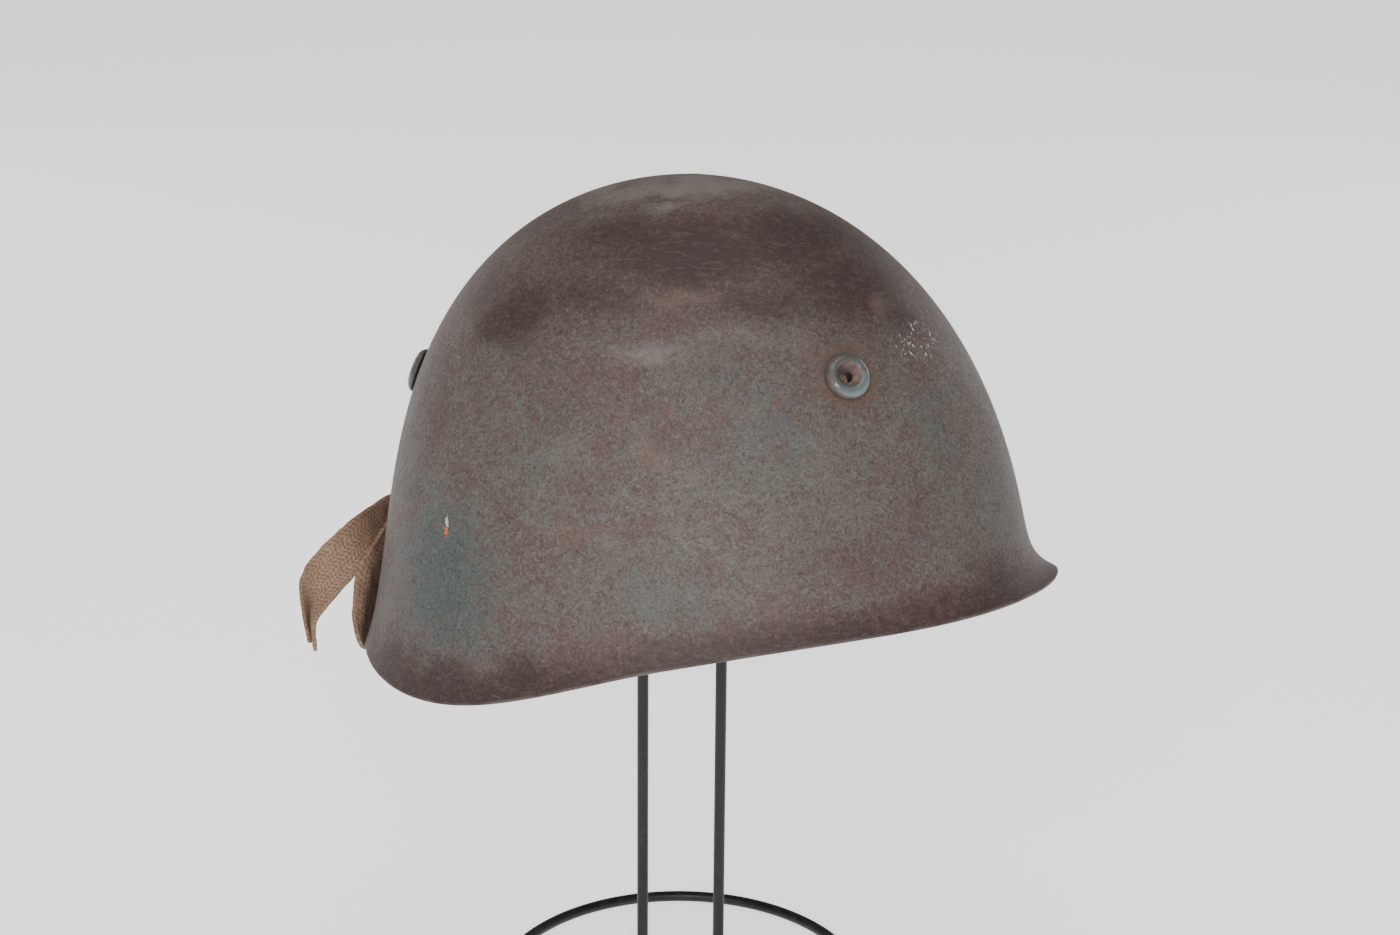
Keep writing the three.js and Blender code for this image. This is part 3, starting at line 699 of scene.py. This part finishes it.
STRAPS = {"chin_strap_right": "vent_front_right", "chin_strap_left": "vent_front_left"}
for node, vent in STRAPS.items():
    webbing, length = lay_webbing(node, vent_centres[vent])
    punch_eyelet(webbing, vent)
    thickness = webbing.modifiers.new("thickness", "SOLIDIFY")
    thickness.thickness = CLOTH_THICK
    thickness.offset = 0
    bpy.ops.object.modifier_apply(modifier="thickness")
    subdivide(webbing, 1)
    bpy.ops.object.shade_smooth()
    cloth_shader, cloth_nodes = new_material(webbing, node + "_cloth", Specular_IOR_Level=0.2)
    place = cloth_nodes.place()
    flat = cloth_nodes.node("ShaderNodeTexCoord", {}, {}, "UV")
    split = {"Vector": flat}
    across = cloth_nodes.node("ShaderNodeSeparateXYZ", {}, split, "X") * (STRAP_WIDTH / MM)
    along = cloth_nodes.node("ShaderNodeSeparateXYZ", {}, split, "Y") * (length / MM)
    ribs = cloth_nodes.math("ABSOLUTE", cloth_nodes.math("SINE", across * (math.pi / CORD_PITCH)))
    zigzag = cloth_nodes.math("PINGPONG", across, COLUMN_WIDTH)
    threads = {"X": across * 1.5, "Y": along * 0.5}
    threads = cloth_nodes.node("ShaderNodeCombineXYZ", {}, threads, "Vector")
    fibres = threads.noise(1.1, detail=4, roughness=0.7, distortion=0.6)
    slant = along + zigzag * 0.6 + (fibres - 0.5) * 3.2
    picks = cloth_nodes.math("SINE", slant * (2 * math.pi / PICK_PITCH)) * 0.5 + 0.5
    stains = place.noise(60, detail=3)
    weave = ribs * 0.14 + picks * 0.22 + fibres * 0.85
    tone = weave.step(0.3, 0.95).blend(CLOTH_BROWN, CLOTH_LIGHT)
    tone = (fibres.step(0.56, 0.72) * 0.6).blend(tone, CLOTH_FUZZ)
    tone = (stains.step(0.45, 0.75) * 0.6).blend(tone, CLOTH_STAIN)
    if node == "chin_strap_left":
        from_end = length / MM - along
        from_edge = cloth_nodes.math("PINGPONG", across, STRAP_WIDTH / MM / 2)
        from_middle = cloth_nodes.math("ABSOLUTE", from_end - SEAM_MIDDLE)
        side_row = 1 - cloth_nodes.math("ABSOLUTE", from_edge - SEAM_INSET).step(0.25, 0.5)
        cross_row = 1 - cloth_nodes.math("ABSOLUTE", from_middle - SEAM_HALF).step(0.25, 0.5)
        turns = 2 * math.pi / STITCH_PITCH
        dashes_along = cloth_nodes.math("SINE", along * turns).step(-0.4, 0.0)
        dashes_across = cloth_nodes.math("SINE", across * turns).step(-0.4, 0.0)
        between = 1 - from_middle.step(SEAM_HALF + 0.1, SEAM_HALF + 0.5)
        side_seams = between * side_row * dashes_along
        cross_seams = from_edge.step(SEAM_INSET - 0.4, SEAM_INSET) * cross_row * dashes_across
        stitches = cloth_nodes.math("MAXIMUM", side_seams, cross_seams)
        tone = stitches.blend(tone, STITCH_BROWN)
        weave = weave + stitches * 0.8
    tone.feed(cloth_shader, "Base Color")
    (0.86 + fibres * 0.12).feed(cloth_shader, "Roughness")
    weave.bump(0.8, 0.5 * MM).feed(cloth_shader, "Normal")
    finish_piece(webbing, node)


# The strap ring: steel wire bent to a five-sided loop, browned with age. Each half of the strap
# turns over one of its slanting bars.
RING_STEEL = (0.16, 0.15, 0.14, 1)
RING_RUST = (0.11, 0.055, 0.03, 1)
ring = cad_copy("strap_ring")
subdivide(ring, 2)
ring_shader, ring_nodes = new_material(ring, "browned_steel", Metallic=0.8)
place = ring_nodes.place()
rust = place.noise(300, detail=4, roughness=0.65)
tone = rust.step(0.42, 0.62).blend(RING_STEEL, RING_RUST)
tone.feed(ring_shader, "Base Color")
(0.42 + rust.step(0.4, 0.65) * 0.35).feed(ring_shader, "Roughness")
rust.bump(0.3, 0.15 * MM).feed(ring_shader, "Normal")
finish_piece(ring, "strap_ring")


# The stand: a base ring of black steel wire, and a second wire that is welded to it, runs in to
# the middle, rises as two uprights and opens to the hoop that the helmet rests on.
WIRE_RADIUS = 2.4 * MM
BASE_RADIUS = 80 * MM
UPRIGHT_HALF_GAP = 16.5 * MM
FOOT_BEND = 12 * MM
NECK_BEND = 25 * MM
HOOP_RADIUS = 58 * MM
BEAD_RADIUS = 3.1 * MM
BEAD_INSET = 2 * MM
BEAD_SHAPE = (1.15, 1.2, 0.76)
WIRE_BLACK = (0.005, 0.005, 0.0055, 1)
WIRE_SCUFF = (0.014, 0.0135, 0.014, 1)
stand_low, stand_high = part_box("wire_stand")
stand_axis = (stand_low + stand_high) / 2
hoop_level = stand_high.z - WIRE_RADIUS - HOOP_RADIUS
neck_middle = UPRIGHT_HALF_GAP + NECK_BEND
neck_drop = math.sqrt((HOOP_RADIUS + NECK_BEND) ** 2 - neck_middle**2)
neck_turn = math.atan2(neck_drop, neck_middle)
bpy.ops.object.select_all(action="DESELECT")
bpy.ops.mesh.primitive_circle_add(
    vertices=16,
    radius=WIRE_RADIUS,
    fill_type="NGON",
    location=(BASE_RADIUS, 0, WIRE_RADIUS),
    rotation=(0, math.radians(90), 0),
)
stand = bpy.context.object
stand.name = "stand_wire"
bpy.ops.object.transform_apply(location=True, rotation=True, scale=True)
bpy.ops.object.mode_set(mode="EDIT")
bpy.ops.mesh.select_all(action="SELECT")
run_in = BASE_RADIUS - UPRIGHT_HALF_GAP - FOOT_BEND
bpy.ops.mesh.extrude_region_move(TRANSFORM_OT_translate={"value": (-run_in, 0, 0)})
foot_centre = (UPRIGHT_HALF_GAP + FOOT_BEND, 0, WIRE_RADIUS + FOOT_BEND)
bpy.ops.mesh.spin(steps=12, angle=math.radians(-90), center=foot_centre, axis=(0, 1, 0))
rise = hoop_level - neck_drop - WIRE_RADIUS - FOOT_BEND
bpy.ops.mesh.extrude_region_move(TRANSFORM_OT_translate={"value": (0, 0, rise)})
neck_centre = (neck_middle, 0, hoop_level - neck_drop)
bpy.ops.mesh.spin(steps=12, angle=-neck_turn, center=neck_centre, axis=(0, 1, 0))
hoop_turn = math.radians(90) + neck_turn
bpy.ops.mesh.spin(steps=40, angle=hoop_turn, center=(0, 0, hoop_level), axis=(0, 1, 0))
bpy.ops.mesh.delete(type="ONLY_FACE")
bpy.ops.object.mode_set(mode="OBJECT")
other_half = stand.modifiers.new("other_half", "MIRROR")
other_half.merge_threshold = 0.05 * MM
bpy.ops.object.modifier_apply(modifier="other_half")
bpy.ops.mesh.primitive_torus_add(
    major_segments=128,
    minor_segments=16,
    major_radius=BASE_RADIUS,
    minor_radius=WIRE_RADIUS,
    location=(0, 0, WIRE_RADIUS),
)
base_ring = bpy.context.object
beads = []
for side in (-1, 1):
    bpy.ops.mesh.primitive_uv_sphere_add(
        segments=20,
        ring_count=12,
        radius=BEAD_RADIUS,
        location=(side * (BASE_RADIUS - BEAD_INSET), 0, WIRE_RADIUS),
    )
    bead = bpy.context.object
    bead.scale = BEAD_SHAPE
    beads.append(bead)
for part in [base_ring] + beads:
    part.select_set(True)
stand.select_set(True)
bpy.context.view_layer.objects.active = stand
bpy.ops.object.join()
stand.location = (stand_axis.x, stand_axis.y, 0)
bpy.ops.object.transform_apply(location=True, rotation=True, scale=True)
bpy.ops.object.shade_smooth()
wire_shader, wire_nodes = new_material(stand, "satin_black_wire", Specular_IOR_Level=0.35)
place = wire_nodes.place()
scuffs = place.noise(240, detail=3)
tone = scuffs.step(0.45, 0.75).blend(WIRE_BLACK, WIRE_SCUFF)
tone.feed(wire_shader, "Base Color")
(0.36 + scuffs * 0.2).feed(wire_shader, "Roughness")
place.noise(900, detail=2).bump(0.15, 0.1 * MM).feed(wire_shader, "Normal")
finish_piece(stand, "wire_stand")
